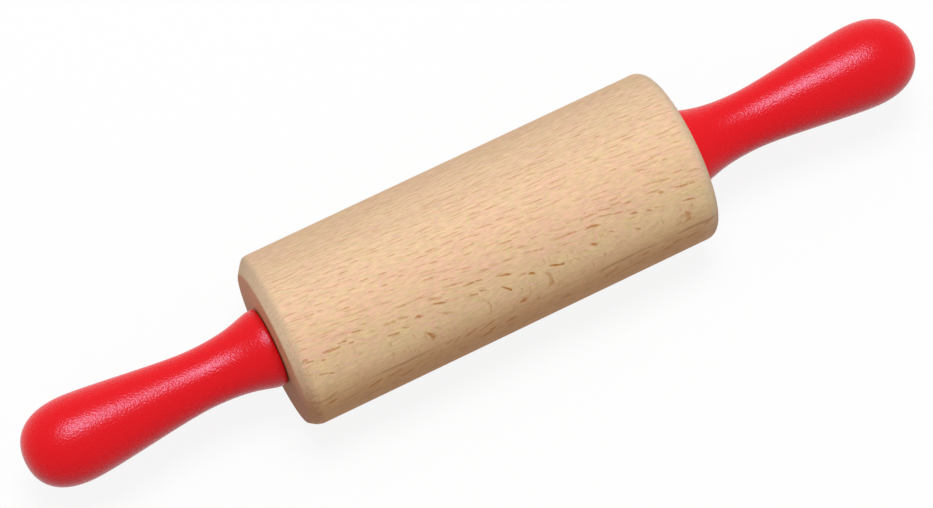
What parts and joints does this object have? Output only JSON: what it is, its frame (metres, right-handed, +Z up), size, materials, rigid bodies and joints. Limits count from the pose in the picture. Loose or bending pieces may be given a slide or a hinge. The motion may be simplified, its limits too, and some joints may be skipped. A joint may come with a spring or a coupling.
{
  "type": "rolling pin",
  "caption": "Small rolling pin with a turning cylindrical wooden barrel on a through axle and two club-shaped lacquered handles.",
  "frame": {"origin": "on the surface the pin lies on, straight under the middle of the barrel", "axes": "+X along the pin from the left handle to the right handle, +Z up, +Y across the pin"},
  "size_m": [0.2168, 0.04, 0.04],
  "materials": {
    "beech": "turned and sanded beech, untreated, matt",
    "red_lacquer": "turned beech under red gloss lacquer",
    "axle_steel": "bright drawn steel rod",
    "nylon": "moulded natural nylon"
  },
  "bodies": {
    "spindle": {"axle": "axle_steel", "handle_left": "red_lacquer", "handle_right": "red_lacquer"},
    "roller": {"barrel": "beech", "bush_left": "nylon", "bush_right": "nylon"}
  },
  "joints": [
    {"name": "barrel_spin", "type": "hinge", "parent": "spindle", "child": "roller", "pos_m": [0, 0, 0.02], "axis": [1, 0, 0], "continuous": true}
  ]
}
